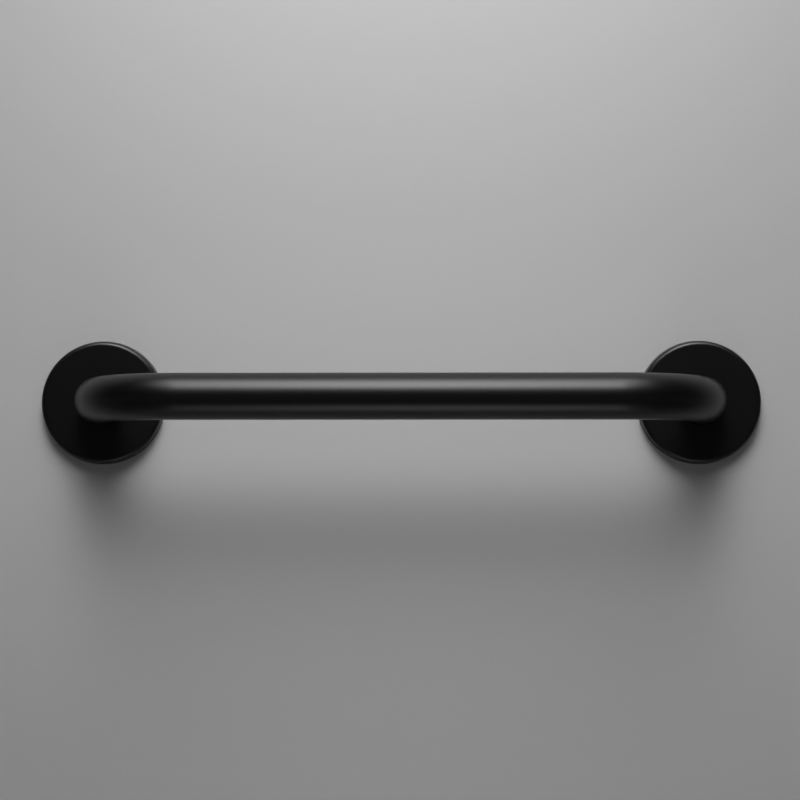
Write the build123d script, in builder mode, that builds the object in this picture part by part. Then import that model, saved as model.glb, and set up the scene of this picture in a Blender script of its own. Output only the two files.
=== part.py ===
from build123d import *
from math import cos, radians, tan
import os

# Wall-mounted grab bar with hidden fixings: one bent tube is welded to a fixing plate at each end,
# and a pressed cover slides along each leg and snaps over its plate.
# X runs along the bar, Z is up, and the wall is the plane y = 0 with the bar on its -Y side.
# The origin is on the wall, midway between the two legs. All sizes are in millimetres.

# Bent tube
centre_distance = 400.0  # between the axes of the two legs
tube_diameter = 30.0
tube_wall = 1.2
hand_clearance = 70.0  # between the wall and the grip
bend_radius = 60.0  # at the tube's centre line
tube_end_recess = 0.5  # keeps the sawn ends of the tube off the wall

# Fixing plates
plate_diameter = 78.0
plate_thickness = 3.0
plate_chamfer = 0.8  # eases the cover on over the rim
weld_leg = 3.0
nib_height = 1.2  # the nibs on the rim of a plate grip the cover
nib_radius = 4.0
screw_count = 3
screw_hole_diameter = 5.5
screw_head_diameter = 9.5  # of the countersink, on the side away from the wall
screw_head_room = 5.2  # between the plate and the inside of the cover

# Covers
cover_sheet = 0.8
cover_draft = 6.5  # degrees that the skirt leans in
cover_edge_radius = 2.8
cover_inner_chamfer = 1.2  # keeps the sheet even behind the rounded edge

# Clearances
wall_clearance = 0.3  # between the wall and the rim of a cover
snap_clearance = 0.3  # between the nibs and the skirt of a cover
slide_clearance = 0.4  # between a leg and the hole in its cover

# Sizes that follow from the ones above
tube_radius = tube_diameter / 2
stand_off = hand_clearance + tube_radius
plate_radius = plate_diameter / 2
weld_radius = tube_radius + weld_leg
screw_circle_radius = (weld_radius + plate_radius) / 2  # midway between the weld and the rim
nib_thickness = plate_thickness - plate_chamfer
nib_reach = plate_radius + nib_height
skirt_lean = tan(radians(cover_draft))
skirt_inside = nib_reach + snap_clearance + (nib_thickness - wall_clearance) * skirt_lean  # at the open rim
skirt_outside = skirt_inside + cover_sheet / cos(radians(cover_draft))
dish_floor = plate_thickness + screw_head_room  # inside of the cover's face, from the wall
cover_height = dish_floor + cover_sheet
cover_hole_radius = tube_radius + slide_clearance

# Each end has its own plane on the wall: x points outwards along the bar, z away from the wall.
# The first screw hole lies outwards, and no hole has a part of the bar straight in front of it.
ends = {
    "left": Plane((-centre_distance / 2, 0, 0), x_dir=(-1, 0, 0), z_dir=(0, -1, 0)),
    "right": Plane((centre_distance / 2, 0, 0), x_dir=(1, 0, 0), z_dir=(0, -1, 0)),
}

os.makedirs("parts", exist_ok=True)

# The tube runs out from the left plate, along the wall and back to the right plate
with BuildPart() as grab_tube:
    with BuildLine() as centre_line:
        FilletPolyline(
            (-centre_distance / 2, -tube_end_recess, 0),
            (-centre_distance / 2, -stand_off, 0),
            (centre_distance / 2, -stand_off, 0),
            (centre_distance / 2, -tube_end_recess, 0),
            radius=bend_radius,
        )
    with BuildSketch(ends["left"].offset(tube_end_recess)):
        Circle(tube_radius)
        Circle(tube_radius - tube_wall, mode=Mode.SUBTRACT)
    sweep(path=centre_line.line)

grab_tube.part.label = "grab_tube"
export_step(grab_tube.part, "parts/grab_tube.step")

# A punched plate takes the end of each leg, with a fillet weld round it and nibs between the screws
for side, end in ends.items():
    with BuildPart(end) as fixing_plate:
        with BuildSketch(end):
            Circle(plate_radius)
        extrude(amount=plate_thickness)
        chamfer(fixing_plate.faces().sort_by(Axis.Y).first.edges(), plate_chamfer)
        with BuildSketch(end):
            with PolarLocations(nib_reach - nib_radius, screw_count, start_angle=180 / screw_count):
                Circle(nib_radius)
        extrude(amount=nib_thickness)
        with Locations((0, 0, plate_thickness)):
            Hole(tube_radius)
            with PolarLocations(screw_circle_radius, screw_count):
                CounterSinkHole(screw_hole_diameter / 2, screw_head_diameter / 2, counter_sink_angle=90)
        with BuildSketch(Plane(end.origin, x_dir=end.x_dir, z_dir=-end.y_dir)):
            with BuildLine():
                Polyline(
                    (tube_radius, plate_thickness + weld_leg),
                    (tube_radius, plate_thickness),
                    (weld_radius, plate_thickness),
                    close=True,
                )
            make_face()
        revolve(axis=Axis(end.origin, end.z_dir))

    fixing_plate.part.label = f"{side}_fixing_plate"
    export_step(fixing_plate.part, f"parts/{side}_fixing_plate.step")

# A cover is pressed from sheet: the section of a shallow dish with a leaning skirt goes round the leg
for side, end in ends.items():
    with BuildPart(end) as cover:
        with BuildSketch(Plane(end.origin, x_dir=end.x_dir, z_dir=-end.y_dir)) as section:
            with BuildLine():
                Polyline(
                    (skirt_inside, wall_clearance),
                    (skirt_outside, wall_clearance),
                    (skirt_outside - (cover_height - wall_clearance) * skirt_lean, cover_height),
                    (cover_hole_radius, cover_height),
                    (cover_hole_radius, dish_floor),
                    (skirt_inside - (dish_floor - wall_clearance) * skirt_lean, dish_floor),
                    close=True,
                )
            make_face()
            chamfer(section.vertices().group_by(Axis.Y)[1].sort_by(Axis.X).last, cover_inner_chamfer)
            fillet(section.vertices().group_by(Axis.Y)[-1].sort_by(Axis.X).last, cover_edge_radius)
        revolve(axis=Axis(end.origin, end.z_dir))

    cover.part.label = f"{side}_cover"
    export_step(cover.part, f"parts/{side}_cover.step")
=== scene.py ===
import bpy
import numpy as np
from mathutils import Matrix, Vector


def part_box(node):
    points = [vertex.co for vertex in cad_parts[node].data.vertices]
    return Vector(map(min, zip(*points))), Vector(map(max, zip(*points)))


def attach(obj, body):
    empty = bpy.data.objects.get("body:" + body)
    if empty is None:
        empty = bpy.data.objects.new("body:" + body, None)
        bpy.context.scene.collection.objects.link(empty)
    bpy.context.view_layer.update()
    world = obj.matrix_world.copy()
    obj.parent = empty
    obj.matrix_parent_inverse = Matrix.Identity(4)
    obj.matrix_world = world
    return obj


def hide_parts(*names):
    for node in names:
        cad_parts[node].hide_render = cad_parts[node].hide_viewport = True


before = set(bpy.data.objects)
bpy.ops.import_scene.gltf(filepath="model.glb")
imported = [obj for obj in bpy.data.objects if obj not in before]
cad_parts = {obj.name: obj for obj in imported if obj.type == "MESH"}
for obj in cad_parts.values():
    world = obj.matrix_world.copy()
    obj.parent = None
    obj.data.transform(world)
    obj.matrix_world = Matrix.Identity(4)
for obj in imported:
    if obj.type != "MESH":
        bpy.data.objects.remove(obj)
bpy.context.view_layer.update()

# Bent tube: one length of 30 mm round steel tube with a 1.2 mm wall, drawn round two bends and sawn square
# at both ends. It is welded into the fixing plates, and the welded bar is powder coated in satin black.
tube_radius = 0.015
tube_wall = 0.0012
bend_radius = 0.060  # at the tube's centre line
sawn_edge = 0.00015  # rounding left on the sawn ends by deburring
tube_low, tube_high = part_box("grab_tube")
leg_distance = tube_high.x - tube_low.x - 2 * tube_radius  # between the axes of the two legs
stand_off = -tube_low.y - tube_radius  # from the wall to the axis of the grip
end_recess = -tube_high.y  # the sawn ends stay this far off the wall
bore_radius = tube_radius - tube_wall
leg_length = stand_off - bend_radius - end_recess
bend_length = bend_radius * np.pi / 2
grip_half = leg_distance / 2 - bend_radius
run_ends = np.cumsum([0, leg_length, bend_length, 2 * grip_half, bend_length, leg_length])
run_steps = (4, 72, 40, 72, 4)  # of the mesh, along the legs, the bends and the grip
tube_sides = 128
sawn_edge_steps = 4

bar_black = (0.0007, 0.0007, 0.0008, 1.0)
bar_roughness = 0.35
coat_ior = 1.4
coat_relief = 0.000012  # height of the coat's ripple and grain
ripple_scale = 420.0  # ripples in a metre


def rounded_outline(corners, radii, steps):
    """A closed outline with each corner replaced by an arc of its own radius.

    The centre of an arc lies on the line that halves its corner, at radius / sin(half the corner's angle).
    The arc starts and ends where it touches the two sides, and its direction from the centre turns evenly
    between them. One more point on each side, a tenth of the radius off, keeps the shading of the sides flat.
    """
    corners, radii = np.asarray(corners), np.asarray(radii)[:, None]
    back = np.roll(corners, 1, axis=0) - corners
    onward = np.roll(corners, -1, axis=0) - corners
    back /= np.linalg.norm(back, axis=1, keepdims=True)
    onward /= np.linalg.norm(onward, axis=1, keepdims=True)
    half = np.arccos(np.sum(back * onward, axis=1, keepdims=True)) / 2
    middle = (back + onward) / np.linalg.norm(back + onward, axis=1, keepdims=True)
    centre = corners + middle * radii / np.sin(half)
    first = corners + back * radii / np.tan(half)
    last = corners + onward * radii / np.tan(half)
    swing = (np.pi - 2 * half)[:, None]
    share = np.linspace(0, 1, steps)[None, :, None]
    from_first = (first - centre)[:, None] * np.sin((1 - share) * swing)
    from_last = (last - centre)[:, None] * np.sin(share * swing)
    arc = centre[:, None] + (from_first + from_last) / np.sin(swing)
    before = (first + back * radii / 10)[:, None]
    after = (last + onward * radii / 10)[:, None]
    return np.concatenate([before, arc, after], axis=1).reshape(-1, 2)


def along_tube(distance):
    """The centre line and its outward side at each distance along the tube.

    The line keeps one bend radius outside a bracket of three straight sides: out along one leg, across, and
    back along the other leg. On a side of the bracket the outward direction stays, and at a corner it turns
    evenly through a right angle.
    """
    turn = np.interp(distance, run_ends, np.radians([0, 0, 90, 90, 180, 180]))
    x = np.interp(distance, run_ends, grip_half * np.array([-1, -1, -1, 1, 1, 1]))
    y = np.interp(distance, run_ends, -end_recess - leg_length * np.array([0, 1, 1, 1, 1, 0]))
    outwards = np.stack([-np.cos(turn), -np.sin(turn), np.zeros_like(turn)], axis=-1)
    return np.stack([x, y, np.zeros_like(x)], axis=-1) + bend_radius * outwards, outwards


def closed_skin(name, points, coat):
    """A skin over a grid of points: each joins its neighbours, and the last row and column join the first."""
    rows, columns = points.shape[:2]
    corner = np.arange(rows * columns).reshape(rows, columns)
    beside = np.roll(corner, -1, axis=1)
    quads = np.stack([corner, beside, np.roll(beside, -1, axis=0), np.roll(corner, -1, axis=0)], axis=-1)
    mesh = bpy.data.meshes.new(name)
    mesh.from_pydata(points.reshape(-1, 3).tolist(), [], quads.reshape(-1, 4).tolist())
    mesh.polygons.foreach_set("use_smooth", np.ones(rows * columns, dtype=bool))
    mesh.materials.append(coat)
    piece = bpy.data.objects.new(name, mesh)
    bpy.context.collection.objects.link(piece)
    return piece


def feed(tree, socket, value):
    """Links a socket to another node's output, or sets it to a plain value."""
    if isinstance(value, bpy.types.NodeSocket):
        tree.links.new(value, socket)
    else:
        socket.default_value = value


def worked_out(tree, operation, *values):
    """The result of one step of maths on values or on other nodes' outputs."""
    step = tree.nodes.new("ShaderNodeMath")
    step.operation = operation
    for socket, value in zip(step.inputs, values):
        feed(tree, socket, value)
    return step.outputs["Value"]


def carried_over(tree, value, from_range, to_range):
    """A value carried from one range to another in a straight line, and held at both ends."""
    step = tree.nodes.new("ShaderNodeMapRange")
    for socket, limit in zip(("From Min", "From Max", "To Min", "To Max"), (*from_range, *to_range)):
        step.inputs[socket].default_value = limit
    tree.links.new(value, step.inputs["Value"])
    return step.outputs["Result"]


def make_coat_texture():
    """Powder coat as a group: a slow ripple left by the flowing powder, a fine grain and a faint shade.

    The height is a mix of ripple and grain. The shade multiplies the colour, and the grain is added to the
    roughness. Each is a noise, of which the middle half is carried over to its range.
    """
    grain_scale = 2600.0  # grains in a metre
    grain_share = 0.35  # of the height
    grain_roughness = (-0.03, 0.03)
    shade_scale = 35.0
    shade_range = (0.85, 1.2)
    middle_half = (0.25, 0.75)

    group = bpy.data.node_groups.new("powder_coat_texture", "ShaderNodeTree")
    colour, number = "NodeSocketColor", "NodeSocketFloat"
    inputs = {"Colour": colour, "Roughness": number, "Ripple Scale": number}
    outputs = {"Colour": colour, "Roughness": number, "Height": number}
    for direction, sockets in (("INPUT", inputs), ("OUTPUT", outputs)):
        for socket, kind in sockets.items():
            group.interface.new_socket(socket, in_out=direction, socket_type=kind)
    nodes, links = group.nodes, group.links
    given, result = nodes.new("NodeGroupInput"), nodes.new("NodeGroupOutput")
    place = nodes.new("ShaderNodeTexCoord")

    def noise(scale, detail):
        """A noise on the piece's own coordinates."""
        pattern = nodes.new("ShaderNodeTexNoise")
        links.new(place.outputs["Object"], pattern.inputs["Vector"])
        feed(group, pattern.inputs["Scale"], scale)
        pattern.inputs["Detail"].default_value = detail
        return pattern.outputs["Fac"]

    ripple = noise(given.outputs["Ripple Scale"], detail=1.0)
    grain = noise(grain_scale, detail=2.0)
    shade = noise(shade_scale, detail=3.0)

    height = nodes.new("ShaderNodeMix")
    height.inputs["Factor"].default_value = grain_share
    links.new(ripple, height.inputs["A"])
    links.new(grain, height.inputs["B"])
    links.new(height.outputs["Result"], result.inputs["Height"])

    tint = nodes.new("ShaderNodeVectorMath")
    tint.operation = "SCALE"
    links.new(given.outputs["Colour"], tint.inputs["Vector"])
    links.new(carried_over(group, shade, middle_half, shade_range), tint.inputs["Scale"])
    links.new(tint.outputs["Vector"], result.inputs["Colour"])

    uneven = carried_over(group, grain, middle_half, grain_roughness)
    links.new(worked_out(group, "ADD", given.outputs["Roughness"], uneven), result.inputs["Roughness"])
    return group


coat_texture = make_coat_texture()


def powder_coat(name, colour, roughness, relief_height):
    """A satin powder coat of one colour. The shared texture gives its shade, roughness and relief."""
    material = bpy.data.materials.new(name)
    material.use_nodes = True
    nodes, links = material.node_tree.nodes, material.node_tree.links
    shader = nodes["Principled BSDF"]
    shader.inputs["IOR"].default_value = coat_ior
    texture = nodes.new("ShaderNodeGroup")
    texture.node_tree = coat_texture
    texture.inputs["Colour"].default_value = colour
    texture.inputs["Roughness"].default_value = roughness
    texture.inputs["Ripple Scale"].default_value = ripple_scale
    relief = nodes.new("ShaderNodeBump")
    relief.inputs["Strength"].default_value = 1.0
    relief.inputs["Distance"].default_value = relief_height
    links.new(texture.outputs["Colour"], shader.inputs["Base Color"])
    links.new(texture.outputs["Roughness"], shader.inputs["Roughness"])
    links.new(texture.outputs["Height"], relief.inputs["Height"])
    links.new(relief.outputs["Normal"], shader.inputs["Normal"])
    return material


bar_coat = powder_coat("bar_coat", bar_black, bar_roughness, coat_relief)

# The wall of the tube is a loop along its length: over the left end, along the outside, over the right end
# and back along the bore. Each point of the loop goes round the centre line at its own radius.
stations = np.concatenate([
    np.linspace(start, end, steps + 1)[1:] for start, end, steps in zip(run_ends, run_ends[1:], run_steps)
])[:-1]
tube_length = run_ends[-1]
sawn_ends = rounded_outline(
    [(0, bore_radius), (0, tube_radius), (tube_length, tube_radius), (tube_length, bore_radius)],
    [sawn_edge] * 4,
    sawn_edge_steps,
).reshape(4, -1, 2)
outside = np.stack([stations, np.full_like(stations, tube_radius)], axis=-1)
bore = np.stack([stations[::-1], np.full_like(stations, bore_radius)], axis=-1)
wall_loop = np.concatenate([sawn_ends[0], sawn_ends[1], outside, sawn_ends[2], sawn_ends[3], bore])
line, outwards = along_tube(wall_loop[:, 0])
tube_angle = np.linspace(0, 2 * np.pi, tube_sides, endpoint=False)[None, :, None]
away = np.cos(tube_angle) * outwards[:, None] + np.sin(tube_angle) * np.array([0.0, 0.0, 1.0])
tube = closed_skin("bent_tube", line[:, None] + wall_loop[:, None, 1:] * away, bar_coat)
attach(tube, "bar")
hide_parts("grab_tube")

# Fixing plates: 3 mm steel discs, one at each end of the tube, with three countersunk holes for wall screws.
# They are punched from sheet and welded to the tube, and three nibs on each rim grip the cover.
# They share the bar's coat, which is a little duller on them.
plate_roughness = 0.45
plate_relief = 0.000014

plate_coat = powder_coat("plate_coat", bar_black, plate_roughness, plate_relief)
for node in ("left_fixing_plate", "right_fixing_plate"):
    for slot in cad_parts[node].material_slots:
        slot.material = plate_coat

# Weld beads: the run of weld that joins the tube to the front of each plate.
# The torch moves on a little at a time, so the bead is a string of overlapping scales under the coat.
bead_size = 0.003  # along the tube and along the plate
bead_root = 0.0003  # how far the bead reaches into the tube and the plate
bead_roughness = 0.42
plate_thickness = -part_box("left_fixing_plate")[0].y - bead_size
scale_count = 58
scale_height = 0.00016
scale_bow = 0.8  # how far the front edge of a scale bows, in lengths of a scale
scale_gain = 1.7  # brings the crest of a scale to its full height
scale_sink = 0.6  # share of that height that lies below the plain bead
scale_drop = 6  # the higher, the steeper the front edge of a scale
scale_steps = 8
climb_steps = 15
legs = {"left": -leg_distance / 2, "right": leg_distance / 2}


def turned_on_leg(radius, lift, angle, leg_x):
    """A surface turned round the axis of a leg.

    The radius goes round in the plane of the wall, and the lift is the distance off the wall.
    """
    radius, lift, angle = np.broadcast_arrays(radius, lift, angle)
    return np.stack([leg_x + radius * np.cos(angle), -lift, radius * np.sin(angle)], axis=-1)


bead_coat = powder_coat("bead_coat", bar_black, bead_roughness, coat_relief)
climb = np.linspace(0, np.pi / 2, climb_steps)[:, None]
bead_angle = np.linspace(0, 2 * np.pi, scale_count * scale_steps, endpoint=False)[None, :]
# Each scale rises slowly along its phase and drops off at its front edge. The edge bows back at the foot and
# the top of the bead, where the scales die out with the sine of twice the climb.
phase = (bead_angle * scale_count / (2 * np.pi) + scale_bow * np.sin(2 * climb)) % 1.0
scale_rise = scale_gain * phase * (1 - phase ** scale_drop) - scale_sink
bead_reach = bead_size + scale_height * scale_rise * np.sin(2 * climb)
root = np.full_like(bead_angle, -bead_root)
bead_radius = tube_radius + np.concatenate([bead_reach * np.cos(climb), root])
bead_lift = plate_thickness + np.concatenate([bead_reach * np.sin(climb), root])
for side, leg_x in legs.items():
    bead_points = turned_on_leg(bead_radius, bead_lift, bead_angle, leg_x)
    bead = closed_skin(f"{side}_weld_bead", bead_points, bead_coat)
    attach(bead, "bar")

# Covers: round dishes pressed from 0.8 mm steel sheet, with a leaning skirt and a hole that slides along the
# leg. They push home over the nibs of the fixing plates, hide the screws, and have the same satin black coat.
cover_low, cover_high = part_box("left_cover")
cover_height = -cover_low.y
rim_gap = -cover_high.y  # between the open rim and the wall
rim_radius = (cover_high.x - cover_low.x) / 2  # outside, at the open rim
cover_sheet = 0.0008
cover_draft = np.radians(6.5)  # lean of the skirt
slide_clearance = 0.0004  # between a leg and the hole in its cover
cover_hole_radius = tube_radius + slide_clearance
front_rounding = 0.0028
cut_edge = 0.00012  # rounding left on the cut edges by deburring
hole_edge = 0.00024  # rounding of the hole's front edge, which meets the leg
cover_edge_steps = 9
cover_sides = 192
cover_black = (0.0009, 0.0009, 0.0010, 1.0)
cover_roughness = 0.34

cover_coat = powder_coat("cover_coat", cover_black, cover_roughness, coat_relief)
front_radius = rim_radius - (cover_height - rim_gap) * np.tan(cover_draft)
skirt_sheet = cover_sheet / np.cos(cover_draft)
dish_floor = cover_height - cover_sheet
section = rounded_outline(
    [
        (rim_radius - skirt_sheet, rim_gap),
        (rim_radius, rim_gap),
        (front_radius, cover_height),
        (cover_hole_radius, cover_height),
        (cover_hole_radius, dish_floor),
        (front_radius - skirt_sheet + cover_sheet * np.tan(cover_draft), dish_floor),
    ],
    [cut_edge, cut_edge, front_rounding, hole_edge, cut_edge, front_rounding - cover_sheet],
    cover_edge_steps,
)
cover_angle = np.linspace(0, 2 * np.pi, cover_sides, endpoint=False)[None, :]
for side, leg_x in legs.items():
    cover_points = turned_on_leg(section[:, :1], section[:, 1:], cover_angle, leg_x)
    cover = closed_skin(f"{side}_pressed_cover", cover_points, cover_coat)
    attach(cover, f"{side}_cover")
    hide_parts(f"{side}_cover")

# Wall and floor: a smooth wall painted mid grey, which carries the bar, and a pale floor far below it.
# Both show only from their front. The wall lets light through behind the plates, so that their backs are lit,
# and the floor has a faint glow, stronger far off and behind the wall, so that no side of the bar is dark.
wall_grey = (0.396, 0.396, 0.396, 1.0)
wall_roughness = 0.7
wall_place = 0.0004  # just behind the plates
wall_reach = 4.0  # to either side
wall_top = 3.0
opening_radius = 0.038  # of the ways for light behind the plates
floor_pale = (0.78, 0.78, 0.78, 1.0)
floor_roughness = 0.8
floor_level = -1.20
floor_reach = 25.0
rear_glow, rear_distance = 0.8, 1.0  # behind the wall
near_glow, near_distance = 0.015, 2.0  # all round, measured from the middle of the bar
far_glow, far_distance = 0.11, 5.0


def stage_paint(name, colour, roughness):
    """A plain matt paint for the stage, with its tree of nodes, its shader and its object coordinates."""
    paint = bpy.data.materials.new(name)
    paint.use_nodes = True
    shader = paint.node_tree.nodes["Principled BSDF"]
    shader.inputs["Base Color"].default_value = colour
    shader.inputs["Roughness"].default_value = roughness
    place = paint.node_tree.nodes.new("ShaderNodeTexCoord").outputs["Object"]
    return paint, paint.node_tree, shader, place


def parted(tree, vector):
    """The three coordinates of a vector, each as an output of its own."""
    split = tree.nodes.new("ShaderNodeSeparateXYZ")
    tree.links.new(vector, split.inputs["Vector"])
    return split.outputs


def open_where(tree, shader, factor):
    """Makes a paint clear wherever the factor is 1."""
    clear = tree.nodes.new("ShaderNodeBsdfTransparent")
    either = tree.nodes.new("ShaderNodeMixShader")
    tree.links.new(factor, either.inputs["Fac"])
    tree.links.new(shader.outputs["BSDF"], either.inputs[1])
    tree.links.new(clear.outputs["BSDF"], either.inputs[2])
    tree.links.new(either.outputs["Shader"], tree.nodes["Material Output"].inputs["Surface"])


def flat_stage(name, corners, paint):
    """A flat stage piece with four corners in turn, seen from the side on which they run anticlockwise."""
    mesh = bpy.data.meshes.new(name)
    mesh.from_pydata(corners, [], [(0, 1, 2, 3)])
    mesh.materials.append(paint)
    piece = bpy.data.objects.new(name, mesh)
    bpy.context.collection.objects.link(piece)


wall_paint, tree, shader, place = stage_paint("wall_paint", wall_grey, wall_roughness)
# The wall is folded at its middle, so that one distance from the right leg holds for both legs.
spot = parted(tree, place)
folded = tree.nodes.new("ShaderNodeCombineXYZ")
tree.links.new(worked_out(tree, "ABSOLUTE", spot["X"]), folded.inputs["X"])
tree.links.new(spot["Z"], folded.inputs["Z"])
from_leg = tree.nodes.new("ShaderNodeVectorMath")
from_leg.operation = "DISTANCE"
from_leg.inputs[1].default_value = (leg_distance / 2, 0.0, 0.0)
tree.links.new(folded.outputs["Vector"], from_leg.inputs[0])
behind_plate = worked_out(tree, "LESS_THAN", from_leg.outputs["Value"], opening_radius)
# The eye doesn't look through the openings: there the wall is clear for light alone.
seen = tree.nodes.new("ShaderNodeLightPath").outputs["Is Camera Ray"]
open_to_light = worked_out(tree, "LESS_THAN", seen, behind_plate)
from_behind = tree.nodes.new("ShaderNodeNewGeometry").outputs["Backfacing"]
open_where(tree, shader, worked_out(tree, "MAXIMUM", from_behind, open_to_light))
flat_stage(
    "wall",
    [
        (-wall_reach, wall_place, floor_level),
        (wall_reach, wall_place, floor_level),
        (wall_reach, wall_place, wall_top),
        (-wall_reach, wall_place, wall_top),
    ],
    wall_paint,
)

floor_paint, tree, shader, place = stage_paint("floor_paint", floor_pale, floor_roughness)
glow_behind = carried_over(tree, parted(tree, place)["Y"], (0.0, rear_distance), (0.0, rear_glow))
reach = tree.nodes.new("ShaderNodeVectorMath")
reach.operation = "LENGTH"
tree.links.new(place, reach.inputs[0])
glow_far_off = carried_over(
    tree, reach.outputs["Value"], (near_distance, far_distance), (near_glow, far_glow)
)
shader.inputs["Emission Color"].default_value = floor_pale
tree.links.new(worked_out(tree, "ADD", glow_behind, glow_far_off), shader.inputs["Emission Strength"])
open_where(tree, shader, tree.nodes.new("ShaderNodeNewGeometry").outputs["Backfacing"])
flat_stage(
    "floor",
    [
        (-floor_reach, -floor_reach, floor_level),
        (floor_reach, -floor_reach, floor_level),
        (floor_reach, floor_reach, floor_level),
        (-floor_reach, floor_reach, floor_level),
    ],
    floor_paint,
)

# Studio light: three soft panels high in front of the wall make the broad streak along the top of the bar.
# One above the bar lights its upper edge, a weak one below it makes the faint streak on its underside, and
# one behind the wall lights the back. The room is dim, most of all in front.
room_white = (1.0, 1.0, 1.0, 1.0)
front_of_room, front_level = -0.70, 0.02  # a direction's Y, and the strength of the room there
sides_of_room, sides_level = -0.15, 0.045


def soft_panel(name, place, aim, size, radiance, spread=180.0):
    """A panel of light at a place, turned to an aim. Its power is its radiance times pi times its area."""
    width, height = size
    lamp = bpy.data.lights.new(name, "AREA")
    lamp.shape = "RECTANGLE"
    lamp.size, lamp.size_y = width, height
    lamp.energy = radiance * np.pi * width * height
    lamp.spread = np.radians(spread)
    panel = bpy.data.objects.new(name, lamp)
    panel.location = place
    panel.rotation_euler = (Vector(aim) - Vector(place)).to_track_quat("-Z", "Y").to_euler()
    panel.visible_camera = False
    bpy.context.collection.objects.link(panel)


soft_panel(
    "front_panel",
    place=(-0.005, -0.82, 1.26), aim=(0.0, 0.0, 0.16), size=(0.50, 1.30), radiance=1.10, spread=60.0,
)
soft_panel(
    "fill_panel",
    place=(-0.005, -1.05, 1.05), aim=(0.0, 0.0, 0.10), size=(0.50, 0.80), radiance=0.41, spread=60.0,
)
soft_panel(
    "wide_panel",
    place=(0.0, -0.82, 1.30), aim=(0.0, 0.0, 0.20), size=(1.70, 1.0), radiance=0.626, spread=80.0,
)
soft_panel(
    "top_panel",
    place=(0.01, -0.24, 0.60), aim=(0.0, -0.10, 0.0), size=(0.70, 0.26), radiance=2.84,
)
soft_panel(
    "low_panel",
    place=(0.03, -0.62, -1.00), aim=(0.02, -0.085, 0.0), size=(0.50, 0.50), radiance=0.245, spread=70.0,
)
soft_panel(
    "rear_panel",
    place=(0.3, 1.3, 1.1), aim=(0.0, 0.0, 0.0), size=(1.2, 1.2), radiance=3.0,
)

room = bpy.data.worlds.new("dim_room")
bpy.context.scene.world = room
room.use_nodes = True
tree = room.node_tree
direction = tree.nodes.new("ShaderNodeTexCoord").outputs["Generated"]
strength = carried_over(
    tree, parted(tree, direction)["Y"], (front_of_room, sides_of_room), (front_level, sides_level)
)
tree.links.new(strength, tree.nodes["Background"].inputs["Strength"])
tree.nodes["Background"].inputs["Color"].default_value = room_white

# Camera: it stands a metre and a half in front of the wall, a little below the bar and to the right of its
# middle, and looks at it through a long lens, as in the photograph.
camera_place = Vector((0.0246, -1.5136, -0.0742))
camera_aim = Vector((-0.00043, 0.0, 0.00181))
focal_length = 101.42  # in millimetres, as the sensor's width
sensor_width = 36.0
lens = bpy.data.cameras.new("camera")
lens.lens = focal_length
lens.sensor_width = sensor_width
camera = bpy.data.objects.new("camera", lens)
camera.location = camera_place
camera.rotation_euler = (camera_aim - camera_place).to_track_quat("-Z", "Y").to_euler()
bpy.context.collection.objects.link(camera)
bpy.context.scene.camera = camera
bpy.context.scene.view_settings.view_transform = "Standard"
